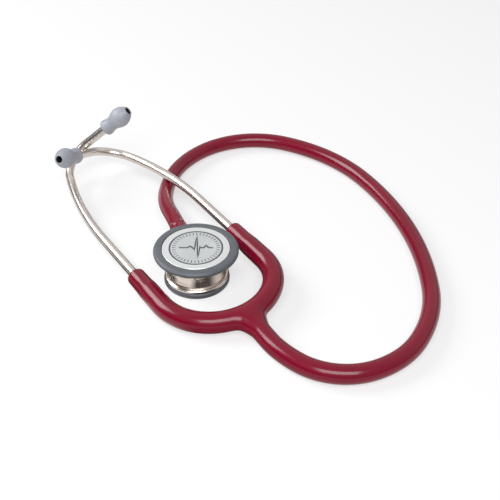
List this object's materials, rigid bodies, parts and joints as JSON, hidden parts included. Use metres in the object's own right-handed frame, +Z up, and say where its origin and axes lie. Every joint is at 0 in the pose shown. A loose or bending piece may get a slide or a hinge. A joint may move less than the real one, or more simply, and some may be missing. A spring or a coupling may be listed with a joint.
{
  "type": "stethoscope",
  "caption": "Dual-sided stethoscope laid out on a table, with a looped tube, sprung yoke, bent metal ear tubes and a chestpiece that turns on its stem.",
  "frame": {"origin": "centre of the small side's resting face, on the table", "axes": "+Z up through the chestpiece's centre, +Y away from the yoke's trunk towards the far loop of the tube, +X to the right seen from the yoke"},
  "size_m": [0.2175, 0.2239, 0.0497],
  "materials": {
    "tubing": "satin",
    "polished_steel": "polished",
    "spring_steel": "plain",
    "ear_tip": "soft matt",
    "seal": "plain",
    "rim": "soft matt",
    "diaphragm": "fine matt"
  },
  "bodies": {
    "long_tube": {"main_tube": "tubing"},
    "yoke": {"yoke_base": "tubing", "leaf_spring_middle": "spring_steel"},
    "left_arm": {"yoke_arm_left": "tubing", "leaf_spring_left": "spring_steel"},
    "right_arm": {"yoke_arm_right": "tubing", "leaf_spring_right": "spring_steel"},
    "left_ear_tube": {"ear_tube_left": "polished_steel"},
    "right_ear_tube": {"ear_tube_right": "polished_steel"},
    "left_ear_tip": {"ear_tip_left": "ear_tip"},
    "right_ear_tip": {"ear_tip_right": "ear_tip"},
    "lead": {"tube_lead": "tubing", "stem": "polished_steel", "stem_collar": "polished_steel", "stem_seal": "seal"},
    "chestpiece": {"chestpiece_body": "polished_steel", "retaining_ring": "spring_steel", "large_rim": "rim", "small_rim": "rim", "index_spring": "spring_steel", "index_screw": "spring_steel"},
    "large_side": {"large_diaphragm": "diaphragm"},
    "small_side": {"small_diaphragm": "diaphragm"},
    "ball": {"index_ball": "polished_steel"}
  },
  "joints": [
    {"name": "headset_lift", "type": "hinge", "parent": "long_tube", "child": "yoke", "pos_m": [0.03939, -0.05661, 0.0054], "axis": [0.8339, 0.5519, 0], "range_deg": [0, 40]},
    {"name": "left_arm_spread", "type": "hinge", "parent": "yoke", "child": "left_arm", "pos_m": [0.00077, -0.04255, 0.00645], "axis": [0.4169, 0.276, 0.866], "range_deg": [0, 28], "stiffness_Nm_per_rad": 0.35},
    {"name": "right_arm_spread", "type": "hinge", "parent": "yoke", "child": "right_arm", "pos_m": [0.04154, -0.01557, 0.01004], "axis": [0.1448, 0.0958, -0.9848], "range_deg": [0, 28], "stiffness_Nm_per_rad": 0.35},
    {"name": "left_ear_tube_turn", "type": "hinge", "parent": "left_arm", "child": "left_ear_tube", "pos_m": [-0.03257, -0.00622, 0.0067], "axis": [0.549, -0.8356, -0.0213], "range_deg": [0, 10]},
    {"name": "right_ear_tube_turn", "type": "hinge", "parent": "right_arm", "child": "right_ear_tube", "pos_m": [0.02097, 0.02705, 0.01165], "axis": [0.5704, -0.8209, -0.0281], "range_deg": [0, 6]},
    {"name": "left_ear_tip_pull", "type": "slide", "parent": "left_ear_tube", "child": "left_ear_tip", "axis": [0.741, -0.0725, 0.6676], "range_m": [0, 0.016]},
    {"name": "right_ear_tip_pull", "type": "slide", "parent": "right_ear_tube", "child": "right_ear_tip", "axis": [-0.3852, -0.8332, 0.3967], "range_m": [0, 0.016]},
    {"name": "lead_lift", "type": "hinge", "parent": "long_tube", "child": "lead", "pos_m": [-0.01983, 0.05823, 0.00846], "axis": [-0.9766, -0.2144, -0.0188], "range_deg": [0, 40]},
    {"name": "chestpiece_turn", "type": "hinge", "parent": "lead", "child": "chestpiece", "pos_m": [0, 0, 0.011], "axis": [-0.3305, 0.9438, 0], "continuous": true},
    {"name": "large_diaphragm_press", "type": "slide", "parent": "chestpiece", "child": "large_side", "axis": [0, 0, -1], "range_m": [0, 0.0005], "stiffness_N_per_m": 4000},
    {"name": "small_diaphragm_press", "type": "slide", "parent": "chestpiece", "child": "small_side", "axis": [0, 0, 1], "range_m": [0, 0.0005], "stiffness_N_per_m": 4000},
    {"name": "index_ball_lift", "type": "slide", "parent": "chestpiece", "child": "ball", "axis": [0, 0, 1], "range_m": [0, 0.0003], "stiffness_N_per_m": 800, "deforming": ["index_spring"]}
  ],
  "couplings": [
    {"joint": "right_arm_spread", "follows": "left_arm_spread", "ratio": 1}
  ]
}
